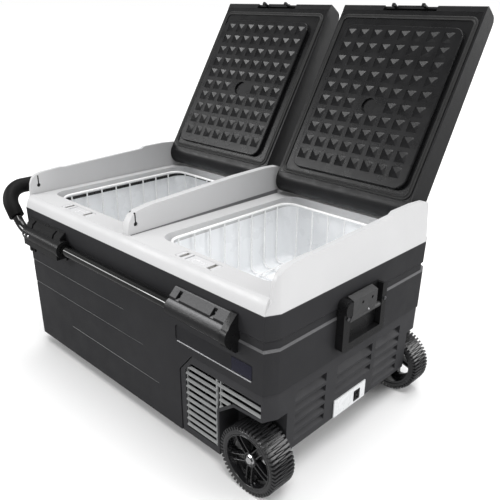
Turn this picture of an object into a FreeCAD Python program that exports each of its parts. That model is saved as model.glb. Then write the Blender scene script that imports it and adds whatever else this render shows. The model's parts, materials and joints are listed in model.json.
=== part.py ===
"""Dual-zone compressor cooler fridge on wheels. Millimetres, +Z up, front is -Y, wheels at the +X end."""

import FreeCAD, Part
import math
import os

os.makedirs("parts", exist_ok=True)
V = FreeCAD.Vector

# driving dimensions
BODY_L = 740.0          # case length along X
BODY_W = 470.0          # case width along Y
BASE_Z = 30.0           # underside of the case above the ground
SEAM_Z = 343.0          # dark case meets grey collar
LEDGE_Z = 368.0         # flat top of the collar that the gaskets sit on
WALL_FRONT_Z = 417.0    # collar side wall height at its front
WALL_REAR_Z = 429.0     # and near its rear
CHAMFER_X = 12.0
CHAMFER_Y = 24.0
SHELL = 4.0             # case wall

HINGE_Y = 202.0         # lid hinge axis
HINGE_Z = 400.0
ROLL_R = 29.0           # rounded rear edge of a lid, about the hinge axis
LID_OPEN = 121.45       # degrees from closed to the back stop
MIDDLE_X = -5.5         # the divider, and the plane the two lids mirror about
LID_X0 = 13.5           # right lid's side next to the divider
LID_X1 = 344.4
LID_MID = (LID_X0 + LID_X1) / 2
LID_FRONT_Y = -207.5
LID_UNDER_Z = 371.0

TUB_X0 = 44.0
TUB_X1 = 331.0
TUB_SHIFT = -2.0        # plane the two tubs mirror about
TUB_Y0 = -181.0
TUB_Y1 = 192.0
TUB_TOP_Z = 346.0
TUB_R = 28.0
DEEP_FLOOR_Z = 62.0
SHALLOW_FLOOR_Z = 222.0

AXLE_X = 330.0
AXLE_Z = 65.0
AXLE_R = 6.0
WHEEL_R = 63.0
WHEEL_OUT_Y = 240.0
WHEEL_IN_Y = 190.0
WELL_Y = 184.0          # inner wall of a wheel well
GROUND_Z = 2.0          # what the wheels and feet stand on
WELL_X = 256.0

ROD_Y = 247.0           # pull handle tube beside the case
ROD_Z = 293.0
ROD_R = 10.0

HX = BODY_L / 2
HY = BODY_W / 2
parts = {}


def box(x0, x1, y0, y1, z0, z1):
    return Part.makeBox(x1 - x0, y1 - y0, z1 - z0, V(x0, y0, z0))


def cyl(radius, start, direction, length):
    return Part.makeCylinder(radius, length, V(*start), V(*direction))


def ngon(points):
    vs = [V(*p) for p in points]
    return Part.makePolygon(vs + [vs[0]])


def prism_xy(points, z0, z1):
    return Part.Face(ngon([(x, y, z0) for x, y in points])).extrude(V(0, 0, z1 - z0))


def prism_yz(points, x0, x1):
    return Part.Face(ngon([(x0, y, z) for y, z in points])).extrude(V(x1 - x0, 0, 0))


def prism_xz(points, y0, y1):
    return Part.Face(ngon([(x, y0, z) for x, z in points])).extrude(V(0, y1 - y0, 0))


def octagon(z, inset_x, inset_y):
    """Plan outline of the case at a height, with its four bevelled corners."""
    a, b = HX - inset_x, HY - inset_y
    cx, cy = CHAMFER_X, CHAMFER_Y
    return ngon([(a - cx, -b, z), (a, -b + cy, z), (a, b - cy, z), (a - cx, b, z),
                 (-a + cx, b, z), (-a, b - cy, z), (-a, -b + cy, z), (-a + cx, -b, z)])


def stack(levels):
    """Solid through several plan outlines, (z, inset_x, inset_y) from the bottom up."""
    wires = [octagon(*lv) for lv in levels]
    solids = [Part.makeLoft(list(pair), True, True) for pair in zip(wires, wires[1:])]
    return fuse(solids)


def fuse(shapes):
    shapes = list(shapes)
    if len(shapes) == 1:
        return shapes[0]
    return shapes[0].multiFuse(shapes[1:]).removeSplitter()


def cut(shape, tools):
    tools = list(tools)
    return shape.cut(tools[0] if len(tools) == 1 else tools[0].multiFuse(tools[1:]))


def rounded(x0, x1, y0, y1, r, z0, z1):
    """Upright block with round vertical corners."""
    b = box(x0, x1, y0, y1, z0, z1)
    up = [e for e in b.Edges if abs(e.Vertexes[0].Z - e.Vertexes[-1].Z) > 0.9 * (z1 - z0)]
    return b.makeFillet(r, up)


def path(points, radii):
    """Wire through points with a tangent arc at each inner point."""
    pts = [V(*p) for p in points]
    edges = []
    here = pts[0]
    for i in range(1, len(pts) - 1):
        a = (pts[i - 1] - pts[i]).normalize()
        b = (pts[i + 1] - pts[i]).normalize()
        half = (math.pi - a.getAngle(b)) / 2
        t = radii[i - 1] * math.tan(half)
        p, q = pts[i] + a * t, pts[i] + b * t
        mid_dir = (a + b).normalize()
        centre = pts[i] + mid_dir * (radii[i - 1] / math.cos(half))
        m = centre - mid_dir * radii[i - 1]
        edges.append(Part.makeLine(here, p))
        edges.append(Part.Arc(p, m, q).toShape())
        here = q
    edges.append(Part.makeLine(here, pts[-1]))
    return Part.Wire(edges)


def pipe(points, radii, radius, bore=0.0):
    wire = path(points, radii)
    start = wire.Edges[0].valueAt(wire.Edges[0].FirstParameter)
    way = wire.Edges[0].tangentAt(wire.Edges[0].FirstParameter)
    def sweep(r):
        ring = Part.Wire(Part.makeCircle(r, start, way))
        return wire.makePipeShell([ring], True, False)
    solid = sweep(radius)
    if bore:
        solid = solid.cut(sweep(bore))
    return solid


def mirror_x(shape):
    return shape.mirror(V(0, 0, 0), V(1, 0, 0))


def mirror_lid(shape):
    return shape.mirror(V(MIDDLE_X, 0, 0), V(1, 0, 0))


def mirror_tub(shape):
    return shape.mirror(V(TUB_SHIFT, 0, 0), V(1, 0, 0))


def mirror_y(shape):
    return shape.mirror(V(0, 0, 0), V(0, 1, 0))


def save(name, *solids):
    parts[name] = solids[0] if len(solids) == 1 else Part.makeCompound(list(solids))


# case shell, with the bay cut away below right
BAY_EDGE = [(157, 20), (157, 163), (190, 202), (HX + 5, 202), (HX + 5, 20)]
BAY_EDGE_IN = [(158, 20), (158, 162.5), (190.5, 201), (HX + 5, 201), (HX + 5, 20)]
case_outline = stack([(BASE_Z, 3.2, 3.2), (280, 0, 0), (283.4, 3.4, 3.4), (296.5, 3.4, 3.4), (300, 0.8, 0.8),
                      (SEAM_Z, 0, 0)])
hollow = stack([(BASE_Z + SHELL, 8.6, 8.6), (SEAM_Z + 1, 8.6, 8.6)])
case = cut(case_outline, [hollow, prism_xz(BAY_EDGE, -300, 300)])


def groove(x0, x1, z, y, deep):
    """Stepped line moulded into a long side: deep at the top, running out below."""
    face = HY - 3.2 * (281 - z) / (281 - BASE_Z)
    s = 1 if y > 0 else -1
    pts = [(s * (face + 1), z), (s * (face - deep), z), (s * (face + 1), z - 16)]
    return prism_yz(pts, x0, x1)


steps = [groove(-HX - 2, -6, 220, -1, 1.6), groove(-HX - 2, 50, 166, -1, 1.6), groove(-211, 93, 101, -1, 1.4),
         groove(-HX - 2, -6, 220, 1, 1.6), groove(-HX - 2, 50, 166, 1, 1.6), groove(-211, 93, 101, 1, 1.4)]
for zc in (220, 166):
    fx = -HX + 3.2 * (281 - zc) / (281 - BASE_Z)
    steps.append(prism_xz([(fx - 1, zc), (fx + 2.6, zc), (fx - 1, zc - 16)], -HY - 2, HY + 2))
panel_hole = prism_xz([(150, 222), (154, 218), (332, 218), (336, 222), (336, 246), (332, 250),
                       (154, 250), (150, 246)], -HY - 2, -HY + 3.6)
panel_through = box(158, 328, -HY - 2, -HY + 9, 224, 244)
drain_hole = cyl(9.2, (-HX - 5, -204, 50), (1, 0, 0), 20)
case = cut(case, steps + [panel_hole, panel_through, drain_hole])
rod_groove = cyl(ROD_R + 2.5, (-HX - 5, -ROD_Y, ROD_Z), (1, 0, 0), 2 * HX + 10)
save("outer_shell", cut(case, [rod_groove, mirror_y(rod_groove)]))

# machine bay cover, wrapping front, end and rear below right
bay = stack([(BASE_Z, 5.0, 5.0), (201, 2.6, 2.6)])
bay = bay.common(prism_xz(BAY_EDGE_IN, -300, 300))
BAY_ROOM = [(162, 34), (162, 160.5), (191, 197), (HX - 8, 197), (HX - 8, 34)]
room = prism_xz(BAY_ROOM, -HY + 8.6, HY - 8.6).common(stack([(30, 8.6, 8.6), (201, 8.6, 8.6)]))
WELL = [(WELL_X, 20), (WELL_X, 121), (292, 149), (HX + 5, 153), (HX + 5, 20)]
WELL_WALL = [(WELL_X - 3, 20), (WELL_X - 3, 122.5), (291, 152.2), (HX + 5, 156), (HX + 5, 20)]
well = prism_xz(WELL, -HY - 10, -WELL_Y)
well_wall = prism_xz(WELL_WALL, -HY - 10, -WELL_Y + 3)
RAISED = [(296, 20), (296, 72), (HX + 5, 72), (HX + 5, 20)]
RAISED_WALL = [(293, 20), (293, 75.5), (HX + 5, 75.5), (HX + 5, 20)]
raised = prism_xz(RAISED, -WELL_Y - 1, WELL_Y + 1)
raised_wall = prism_xz(RAISED_WALL, -WELL_Y - 1, WELL_Y + 1)
room = cut(room, [well_wall, mirror_y(well_wall), raised_wall])
bay = cut(bay, [room, well, mirror_y(well), raised])
FACE_X = HX - 2.6
LOUVRES = [(-164, -83, (183, 158, 138, 119, 99)), (-52, 56, (182, 159, 137)), (68, 152, (182, 159, 138, 116, 95))]
pads = [box(FACE_X - 20, FACE_X - 4, y0 - 3, y1 + 3, tops[-1] - 20, tops[0] + 4) for y0, y1, tops in LOUVRES]
pads = fuse(pads).common(stack([(BASE_Z, 6.0, 6.0), (201, 4.0, 4.0)]))
bay = fuse([bay, pads])
wedges = []
for y0, y1, tops in LOUVRES:
    for top in tops:
        drop = 24 if top == tops[0] else 18.5
        wedges.append(prism_xz([(HX + 1, top), (FACE_X - 16, top), (HX + 1, top - drop)], y0, y1))
        wedges.append(box(FACE_X - 26, FACE_X - 14, y0 + 3, y1 - 3, top - 3.5, top - 0.5))
bay = cut(bay, wedges)
GRILLE_HOLE = [(171, 44), (171, 167), (187, 185), (352.5, 185), (352.5, 158), (289.5, 154), (251, 125), (251, 44)]
front_hole = prism_xz(GRILLE_HOLE, -HY - 2, -HY + 12.4)
rear_hole = mirror_y(front_hole)
power_hole = box(HX - 20, HX + 2, -54, 39, 77, 108)
axle_hole = cyl(AXLE_R + 0.4, (AXLE_X, -HY, AXLE_Z), (0, 1, 0), 2 * HY)
save("bay_cover", cut(bay, [front_hole, rear_hole, power_hole, axle_hole]))


# louvred grille inserts
def grille():
    """Sloped slats in two columns under one full-width slat, on four uprights, clipped to the grille opening."""
    hole = [(x + (0.4 if x < 200 else -0.4), z - (0.4 if z > 180 else 0)) for x, z in GRILLE_HOLE]
    clip = prism_xz([(x, max(z, 44.4)) for x, z in hole], -HY - 2, -HY + 14)
    bits = []
    for i in range(10):
        z = 176.2 - 13.7 * i
        pts = [(-HY + 3.2, z - 3.9), (-HY + 3.2, z - 2.4), (-HY + 7.0, z + 0.8), (-HY + 7.0, z - 0.7)]
        spans = [(171.4, 352.1)] if i == 0 else [(171.4, 250.6), (257.0, 352.1)]
        bits += [prism_yz(pts, a, b) for a, b in spans]
    for x0, x1 in ((171.4, 173.4), (246.6, 250.6), (257.0, 259.5), (350.1, 352.1)):
        bits.append(box(x0, x1, -HY + 5.9, -HY + 10.4, 44.4, 184.6))
    return fuse(bits).common(clip)


front_grille = grille()
save("front_grille", front_grille)
save("rear_grille", mirror_y(front_grille))

# power panel on the wheel end
panel = box(FACE_X - 1.1, FACE_X + 1.4, -56, 41, 74, 110)
panel = cut(panel, [box(HX - 20, HX + 5, 4, 23, 79, 101)])
save("power_panel", panel)
socket = cut(box(FACE_X - 22, FACE_X + 2.2, 4.4, 22.6, 79.4, 100.6),
             [cyl(3.2, (FACE_X - 12, 13.5, z), (1, 0, 0), 20) for z in (85, 95)])
save("power_socket", socket)
save("socket_contacts", *[cyl(1.4, (FACE_X - 12, 13.5, z), (1, 0, 0), 11) for z in (85, 95)])

# grey collar
rim = stack([(SEAM_Z, 0.6, 0.4), (356, 1.4, 4.0), (364.5, 2.0, 9.0), (LEDGE_Z, 3.0, 14.0)])
WALL = [(-HY, SEAM_Z), (-222, 366), (-219, 392), (-214, 402), (-205, 409.5), (-190, 413.5), (-142, WALL_FRONT_Z),
        (-132, 415.4), (81, 424.3), (91, WALL_REAR_Z), (150, WALL_REAR_Z + 0.8), (190, 427), (214, 419), (228, 404), (231, 366), (HY, SEAM_Z)]
DIVIDER = [(-219, 360), (-218, 378), (-214, 392), (-206, 403), (-194, 410), (-160, 415), (60, 427),
           (150, WALL_REAR_Z), (190, 427), (214, 419), (226, 404), (228, 360)]
taper = stack([(SEAM_Z, 0.6, 0.4), (440, 5.0, 5.0)])
ends = prism_yz(WALL, 356, HX + 1).common(taper)
middle = prism_xz([(MIDDLE_X - 9.5, 360), (MIDDLE_X + 9.5, 360), (MIDDLE_X + 7.2, 440), (MIDDLE_X - 7.2, 440)], -HY, HY)
middle = middle.common(prism_yz(DIVIDER, -30, 30))
collar = fuse([rim, ends, mirror_x(ends), middle])
mouth = rounded(TUB_X0, TUB_X1, TUB_Y0, TUB_Y1, TUB_R, 330, 400)
lip = rounded(TUB_X0 - 5, TUB_X1 + 5, TUB_Y0 - 5, TUB_Y1 + 5, TUB_R + 5, 330, 362.9)
under = stack([(SEAM_Z - 1, 6.5, 7.5), (358, 8.0, 12.0), (362.9, 9.0, 20.0)])
under = cut(under, [lip, mirror_tub(lip)])
below = box(-HX, HX, -HY, HY, SEAM_Z - 2, TUB_TOP_Z)
lip_low = cut(lip.common(below), [box(-1, 1, -1, 1, 0, 1)])
KEY_Y, KEY_Z = -200.0, 386.0


def keyhole(x0, x1):
    slit = box(x0, x1, KEY_Y - 1.6, KEY_Y + 1.6, KEY_Z, KEY_Z + 22)
    return fuse([slit, cyl(4.2, (x0, KEY_Y, KEY_Z), (1, 0, 0), x1 - x0)])


pin_holes = [cyl(4.08, (346, HINGE_Y, HINGE_Z), (1, 0, 0), 20.5), cyl(4.08, (-366.5, HINGE_Y, HINGE_Z), (1, 0, 0), 20.5),
             cyl(4.08, (MIDDLE_X - 20, HINGE_Y, HINGE_Z), (1, 0, 0), 40)]
keys = [keyhole(354, 361.5), keyhole(-361.5, -354), keyhole(MIDDLE_X + 5.4, MIDDLE_X + 12),
        keyhole(MIDDLE_X - 12, MIDDLE_X - 5.4)]
foot_line = [prism_yz([(-215, 369), (-215, 366.4), (222, 366.4), (222, 369)], a, b)
             for a, b in ((353, 356), (-356, -353))]
foot_line += [prism_yz([(-215, 369), (-215, 367), (200, 364.6), (222, 364.6), (222, 369)], MIDDLE_X + a, MIDDLE_X + b)
              for a, b in ((9.0, 14.5), (-14.5, -9.0))]
LATCH_XS = (LID_MID, 2 * MIDDLE_X - LID_MID)
strike_seats = [rounded(s - 48, s + 48, -216, -190, 6, LEDGE_Z - 2.4, LEDGE_Z + 2) for s in LATCH_XS]
strike_holes = [box(s + a, s + b, -214.5, -191.5, 355, LEDGE_Z + 1)
                for s in LATCH_XS for a, b in ((-39, -30), (30, 39))]
collar = cut(collar, [mouth, mirror_tub(mouth), under, lip_low, mirror_tub(lip_low)] + pin_holes + keys + foot_line
             + strike_seats + strike_holes)
save("top_collar", collar)


def strike(cx):
    plate = rounded(cx - 47.6, cx + 47.6, -215.6, -190.4, 5.6, LEDGE_Z - 2.2, LEDGE_Z)
    plate = cut(plate, [box(cx + a, cx + b, -214, -192, LEDGE_Z - 4, LEDGE_Z + 2)
                        for a, b in ((-38.6, -30.4), (30.4, 38.6), (-24, -19))])
    return fuse([plate, box(cx - 14, cx + 24, -204, -202.6, LEDGE_Z - 0.5, LEDGE_Z + 0.9)])


save("latch_strike_left", strike(LATCH_XS[1]))
save("latch_strike_right", strike(LATCH_XS[0]))


# tubs, cold plates and foam
def tub(floor):
    """White basin with a flange under the collar lip."""
    outer = rounded(TUB_X0 - 2.5, TUB_X1 + 2.5, TUB_Y0 - 2.5, TUB_Y1 + 2.5, TUB_R + 2.5, floor - 3, TUB_TOP_Z)
    flange = rounded(TUB_X0 - 7.5, TUB_X1 + 7.5, TUB_Y0 - 7.5, TUB_Y1 + 7.5, TUB_R + 7.5, TUB_TOP_Z - 2.5, TUB_TOP_Z)
    inner = rounded(TUB_X0, TUB_X1, TUB_Y0, TUB_Y1, TUB_R, floor, TUB_TOP_Z + 1)
    sole = [e for e in inner.Edges if abs(e.BoundBox.ZMax - floor) < 0.01]
    return fuse([outer, flange]).cut(inner.makeFillet(14, sole))


def wrap(z0, z1):
    """Aluminium cold plate wrapped round a tub."""
    a = rounded(TUB_X0 - 4.5, TUB_X1 + 4.5, TUB_Y0 - 4.5, TUB_Y1 + 4.5, TUB_R + 4.5, z0, z1)
    b = rounded(TUB_X0 - 2.5, TUB_X1 + 2.5, TUB_Y0 - 2.5, TUB_Y1 + 2.5, TUB_R + 2.5, z0 - 1, z1 + 1)
    return a.cut(b)


tub_l = mirror_tub(tub(DEEP_FLOOR_Z))
tub_r = tub(SHALLOW_FLOOR_Z)
save("tub_left", tub_l)
save("tub_right", tub_r)
wrap_l = mirror_tub(wrap(110, 300))
wrap_r = wrap(236, 320)
save("cold_plate_left", wrap_l)
save("cold_plate_right", wrap_r)
foam = fuse([stack([(BASE_Z + SHELL + 0.5, 9.2, 9.2), (SEAM_Z, 9.2, 9.2)]),
             stack([(SEAM_Z, 13.5, 21.0), (362.4, 13.5, 21.0)])])


def tub_room(floor, top_grow):
    low = rounded(TUB_X0 - 2.5, TUB_X1 + 2.5, TUB_Y0 - 2.5, TUB_Y1 + 2.5, TUB_R + 2.5, floor - 3, TUB_TOP_Z)
    top = rounded(TUB_X0 - top_grow, TUB_X1 + top_grow, TUB_Y0 - top_grow, TUB_Y1 + top_grow, TUB_R + top_grow,
                  TUB_TOP_Z - 2.5, 370)
    return fuse([low, top])


room_bay = prism_xz([(151, 20), (151, 166), (187, 207), (HX + 5, 207), (HX + 5, 20)], -300, 300)
panel_space = box(146, 340, -HY, -HY + 16, 214, 254)
drain_space = box(-HX, -352, -222, -186, 34, 74)
foam = cut(foam, [mirror_tub(tub_room(DEEP_FLOOR_Z, 7.5)), tub_room(SHALLOW_FLOOR_Z, 7.5), room_bay, panel_space,
                  drain_space, mirror_tub(rounded(TUB_X0 - 4.5, TUB_X1 + 4.5, TUB_Y0 - 4.5, TUB_Y1 + 4.5, TUB_R + 4.5,
                                                110, 300)),
                  rounded(TUB_X0 - 4.5, TUB_X1 + 4.5, TUB_Y0 - 4.5, TUB_Y1 + 4.5, TUB_R + 4.5, 236, 320)])
foam = cut(foam, [box(s + a, s + b, -217, -189, 353, 366) for s in LATCH_XS for a, b in ((-41, -28), (28, 41))])
save("foam_core", foam)


# wire baskets
def basket(floor):
    """Welded wire basket: straight bars of a rim and of U wires both ways, meeting end to face."""
    x0, x1, y0, y1 = TUB_X0 + 7, TUB_X1 - 9, TUB_Y0 + 10, TUB_Y1 - 23
    top, low, w, r = 358.0, floor + 5.0, 1.7, 2.7
    c = 22.0
    corners = [(x0 + c, y0), (x1 - c, y0), (x1, y0 + c), (x1, y1 - c), (x1 - c, y1), (x0 + c, y1), (x0, y1 - c),
               (x0, y0 + c)]
    mx, my = (x0 + x1) / 2, (y0 + y1) / 2

    def rim(grow):
        kx, ky = 1 + grow / (x1 - mx), 1 + grow / (y1 - my)
        return [(mx + (x - mx) * kx, my + (y - my) * ky) for x, y in corners]

    outer, inner = rim(r), rim(-r)
    bars = [prism_xy([outer[i - 1], outer[i], inner[i], inner[i - 1]], top - r, top + r) for i in range(8)]
    n_x, n_y = 6, 8
    for i in range(n_y):
        y = y0 + 31 + (y1 - y0 - 62) * i / (n_y - 1)
        bars.append(box(x0 - w, x1 + w, y - w, y + w, low - w, low + w))
        bars += [box(x - w, x + w, y - w, y + w, low + w, top - r) for x in (x0, x1)]
    low += 2 * w
    for i in range(n_x):
        x = x0 + 31 + (x1 - x0 - 62) * i / (n_x - 1)
        bars.append(box(x - w, x + w, y0 - w, y1 + w, low - w, low + w))
        bars += [box(x - w, x + w, y - w, y + w, low + w, top - r) for y in (y0, y1)]
    return bars


save("basket_left", *[mirror_tub(bar) for bar in basket(DEEP_FLOOR_Z)])
save("basket_right", *basket(SHALLOW_FLOOR_Z))


# lids, drawn closed and turned to their back stop
def opened(shape):
    s = shape.copy()
    s.rotate(V(0, HINGE_Y, HINGE_Z), V(1, 0, 0), -LID_OPEN)
    return s


LID = [(LID_FRONT_Y + 1.5, LID_UNDER_Z), (LID_FRONT_Y, LID_UNDER_Z + 2), (LID_FRONT_Y, 404), (LID_FRONT_Y + 2.5, 410),
       (LID_FRONT_Y + 8, 414.5), (LID_FRONT_Y + 16, 416), (HINGE_Y - 20, 428.4), (HINGE_Y, 429), (HINGE_Y, LID_UNDER_Z)]
LID_CAVITY = [(LID_FRONT_Y + 14, LID_UNDER_Z - 1), (LID_FRONT_Y + 14, 410), (HINGE_Y - 28, 421),
              (HINGE_Y - 28, LID_UNDER_Z - 1)]
LATCH_Y = -201.0
LATCH_Z = 398.0
PANEL_Y0, PANEL_Y1 = -156.0, 178.0
PANEL_Z = 362.0


def lid_shell():
    mid = LID_MID
    body = prism_yz(LID, LID_X0, LID_X1)
    roll = cyl(ROLL_R, (LID_X0, HINGE_Y, HINGE_Z), (1, 0, 0), LID_X1 - LID_X0)
    body = fuse([body, roll])
    cavity = prism_yz(LID_CAVITY, LID_X0 + 4, LID_X1 - 4)
    seat = box(LID_X0 + 4, LID_X1 - 4, LID_FRONT_Y + 13, HINGE_Y - 6, LID_UNDER_Z - 1, LID_UNDER_Z + 3.2)
    latch_seat = box(mid - 62, mid + 62, LID_FRONT_Y - 1, LID_FRONT_Y + 12.5, LID_UNDER_Z - 1, 403.5)
    bores = [cyl(4.0, (LID_X0 - 1, HINGE_Y, HINGE_Z), (1, 0, 0), 15),
             cyl(4.0, (LID_X1 - 14, HINGE_Y, HINGE_Z), (1, 0, 0), 15),
             cyl(2.06, (mid - 68, LATCH_Y, LATCH_Z), (1, 0, 0), 136)]
    return cut(body, [cavity, seat, latch_seat] + bores)


def lid_liner():
    """Inner lid panel with a grid of square hollows and a round one in the middle."""
    flange = box(LID_X0 + 4.4, LID_X1 - 4.4, LID_FRONT_Y + 13.4, HINGE_Y - 6.4, LID_UNDER_Z, LID_UNDER_Z + 2.8)
    px0, px1 = 46.5, 322.5
    tower = rounded(px0, px1, PANEL_Y0, PANEL_Y1, 22, PANEL_Z, LID_UNDER_Z + 1)
    low = [e for e in tower.Edges if e.BoundBox.ZMax < PANEL_Z + 0.01]
    panel = fuse([flange, tower.makeFillet(2.5, low)])
    back = rounded(px0 + 4, px1 - 4, PANEL_Y0 + 4, PANEL_Y1 - 4, 18, PANEL_Z + 8.6, LID_UNDER_Z + 4)
    hollows = []
    cx = 180.0
    for row in range(10):
        for col in range(8):
            if row == 5 and col in (3, 4):
                continue
            x = cx + (col - 3.5) * 32.5
            y = -134.5 + row * 31.25
            a, b, step, d = 11.0, 0.6, 0.9, 3.4
            mouth_sq = [(x - a, y - a), (x + a, y - a), (x + a, y + a), (x - a, y + a)]
            base = ngon([(u, v, PANEL_Z + step) for u, v in mouth_sq])
            peak = ngon([(x - b, y - b, PANEL_Z + d), (x + b, y - b, PANEL_Z + d), (x + b, y + b, PANEL_Z + d),
                         (x - b, y + b, PANEL_Z + d)])
            hollows += [prism_xy(mouth_sq, PANEL_Z - 0.5, PANEL_Z + step), Part.makeLoft([base, peak], True, True)]
    hollows.append(cyl(16.5, (cx, -134.5 + 5 * 31.25, PANEL_Z - 1), (0, 0, 1), 5.5))
    return panel.cut(Part.makeCompound([back] + hollows))


def lid_gasket():
    x0, x1, y0, y1 = LID_X0 + 5.5, LID_X1 - 5.5, -184.0, HINGE_Y - 7.2
    outer = rounded(x0, x1, y0, y1, 18, LID_UNDER_Z - 2.6, LID_UNDER_Z)
    inner = rounded(x0 + 9, x1 - 9, y0 + 9, y1 - 9, 12, LID_UNDER_Z - 4, LID_UNDER_Z + 1)
    a = rounded(x0 + 3.7, x1 - 3.7, y0 + 3.7, y1 - 3.7, 15, LID_UNDER_Z - 3, LID_UNDER_Z - 1.2)
    b = rounded(x0 + 5.3, x1 - 5.3, y0 + 5.3, y1 - 5.3, 13, LID_UNDER_Z - 4, LID_UNDER_Z)
    return outer.cut(inner).cut(a.cut(b))


def lid_latch():
    """Flap in the lid's front edge with two hooks that drop into the collar."""
    mid = LID_MID
    flap = box(mid - 61, mid + 61, LID_FRONT_Y + 0.6, LID_FRONT_Y + 5.4, 376, 395)
    barrel = cyl(4.4, (mid - 61, LATCH_Y, LATCH_Z), (1, 0, 0), 122)
    neck = box(mid - 61, mid + 61, LID_FRONT_Y + 2.2, LATCH_Y + 2, 390, LATCH_Z)
    pull = box(mid - 34, mid + 34, LID_FRONT_Y - 2.6, LID_FRONT_Y + 3, 377, 383)
    bits = [flap, barrel, neck, pull]
    for off in (-34.5, 34.5):
        bits.append(box(mid + off - 3.2, mid + off + 3.2, LID_FRONT_Y + 2.0, LID_FRONT_Y + 5.4, 360.5, 380))
        bits.append(box(mid + off - 3.2, mid + off + 3.2, LID_FRONT_Y + 2.0, LID_FRONT_Y + 8.4, 360.5, 363.5))
    bits.append(cyl(2.0, (mid - 67, LATCH_Y, LATCH_Z), (1, 0, 0), 134))
    return fuse(bits)


def lid_pins(wall_end):
    a = cyl(4.0, (-0.5, HINGE_Y, HINGE_Z), (1, 0, 0), LID_X0 + 13)
    b = cyl(4.0, (LID_X1 - 12.5, HINGE_Y, HINGE_Z), (1, 0, 0), wall_end - LID_X1 + 12.5)
    return a, b


for side, turn, wall_end in (("right", lambda s: s, 365.5), ("left", mirror_lid, 365.5 + 2 * MIDDLE_X)):
    save("lid_%s_shell" % side, turn(opened(lid_shell())))
    save("lid_%s_liner" % side, turn(opened(lid_liner())))
    save("lid_%s_gasket" % side, turn(opened(lid_gasket())))
    save("lid_%s_latch" % side, turn(opened(lid_latch())))
    save("lid_%s_hinge_pins" % side, *[turn(opened(p)) for p in lid_pins(wall_end)])

# control panel in the front
bezel = prism_xz([(150.5, 222.2), (154.2, 218.5), (331.8, 218.5), (335.5, 222.2), (335.5, 245.8), (331.8, 249.5),
                  (154.2, 249.5), (150.5, 245.8)], -HY + 2.0, -HY + 3.6)
bezel = fuse([bezel, box(158.5, 327.5, -HY + 3.6, -HY + 14, 224.5, 243.5)])
screen_room = box(288, 333, -HY, -HY + 3.0, 221.5, 246.5)
save("control_bezel", cut(bezel, [screen_room]))
save("display_window", box(288.3, 332.7, -HY + 1.6, -HY + 3.0, 221.8, 246.2))

# machine bay contents
save("compressor_tray", cut(box(166, 288, -138, 176, 34, 37),
                            [cyl(4, (x, y, 30), (0, 0, 1), 10) for x in (172, 282) for y in (-130, 168)]))
comp = cyl(56, (227, 40, 52), (0, 0, 1), 78)
dome = Part.makeSphere(70, V(227, 40, 88)).common(box(150, 300, -40, 120, 129, 200))
dome = dome.common(cyl(56, (227, 40, 100), (0, 0, 1), 100))
sole = Part.makeSphere(130, V(227, 40, 169.3)).common(box(150, 300, -40, 120, 20, 53)).common(
    cyl(56, (227, 40, 20), (0, 0, 1), 60))
legs = [cyl(9, (227 + dx, 40 + dy, 37), (0, 0, 1), 16) for dx in (-44, 44) for dy in (-44, 44)]
arms = [box(227 - 50, 227 + 50, 40 + dy - 8, 40 + dy + 8, 48, 53) for dy in (-44, 44)]
save("compressor", fuse([comp, dome, sole, box(218, 236, -24, -8, 80, 110)] + legs + arms))
fins = [box(168, 248, -190, -150, 62 + 4 * i, 63.2 + 4 * i) for i in range(22)]
tubes = [cyl(3, (x, y, 62), (0, 0, 1), 85.2) for x in (180, 208, 236) for y in (-180, -160)]
save("condenser", fuse(fins + tubes))
FAN = V(210, 0, 106)
frame = box(170, 250, -222, -199, 66, 146)
frame = cut(frame, [cyl(37.5, (FAN.x, -225, FAN.z), (0, 1, 0), 30)]
            + [cyl(2.2, (FAN.x + a, -225, FAN.z + b), (0, 1, 0), 30) for a in (-36, 36) for b in (-36, 36)])
struts = [box(-37.9, 37.9, -202, -199, -1.5, 1.5), box(-1.5, 1.5, -202, -199, -37.9, 37.9)]
for s in struts:
    s.translate(FAN)
motor = cyl(15, (FAN.x, -203, FAN.z), (0, 1, 0), 4)
motor = cut(motor, [cyl(2.1, (FAN.x, -204, FAN.z), (0, 1, 0), 4)])
save("fan_frame", cut(fuse([frame, motor] + struts), [cyl(2.1, (FAN.x, -204, FAN.z), (0, 1, 0), 4)]))
blades = [cyl(14, (FAN.x, -219, FAN.z), (0, 1, 0), 15.4), cyl(2.0, (FAN.x, -205, FAN.z), (0, 1, 0), 4.5)]
for i in range(7):
    b = box(12, 36, -8, 8, -0.8, 0.8)
    b.rotate(V(0, 0, 0), V(1, 0, 0), 35)
    b.rotate(V(0, 0, 0), V(0, 1, 0), i * 360 / 7)
    b.translate(V(FAN.x, -211.5, FAN.z))
    blades.append(b)
save("fan_impeller", fuse(blades))
board = box(164, 246, 196, 199, 60, 150)
chips = [box(180, 200, 190, 196, 70, 90), box(208, 238, 184, 196, 70, 84), cyl(7, (192, 196, 110), (0, -1, 0), 18),
         cyl(7, (212, 196, 110), (0, -1, 0), 18), box(180, 236, 188, 196, 126, 142)]
posts = [box(165, 170, 199, 226.4, z, z + 6) for z in (62, 142)] + [box(236, 242, 196, 199, 34, 60)]
save("control_board", fuse([board] + chips + posts))
line_a = pipe([(227, 40, 158.2), (227, 40, 186), (208, -120, 186), (208, -146, 168), (208, -170, 158),
               (208, -170, 147.4)], [12, 30, 12, 7], 3)
save("refrigerant_line", line_a)

# axle and wheels
save("axle", cyl(AXLE_R, (AXLE_X, -229, AXLE_Z), (0, 1, 0), 458))


def clamp(y):
    body = box(AXLE_X - 22, AXLE_X + 22, y - 9, y + 9, 57, 72)
    body = cut(body, [cyl(AXLE_R + 0.1, (AXLE_X, y - 10, AXLE_Z), (0, 1, 0), 20), box(AXLE_X - 6, AXLE_X + 6, y - 10, y + 10, 50, AXLE_Z)])
    return cut(body, [cyl(2.6, (AXLE_X + a, y, 50), (0, 0, 1), 30) for a in (-15, 15)])


save("axle_clamps", clamp(-150), clamp(150))


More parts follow.
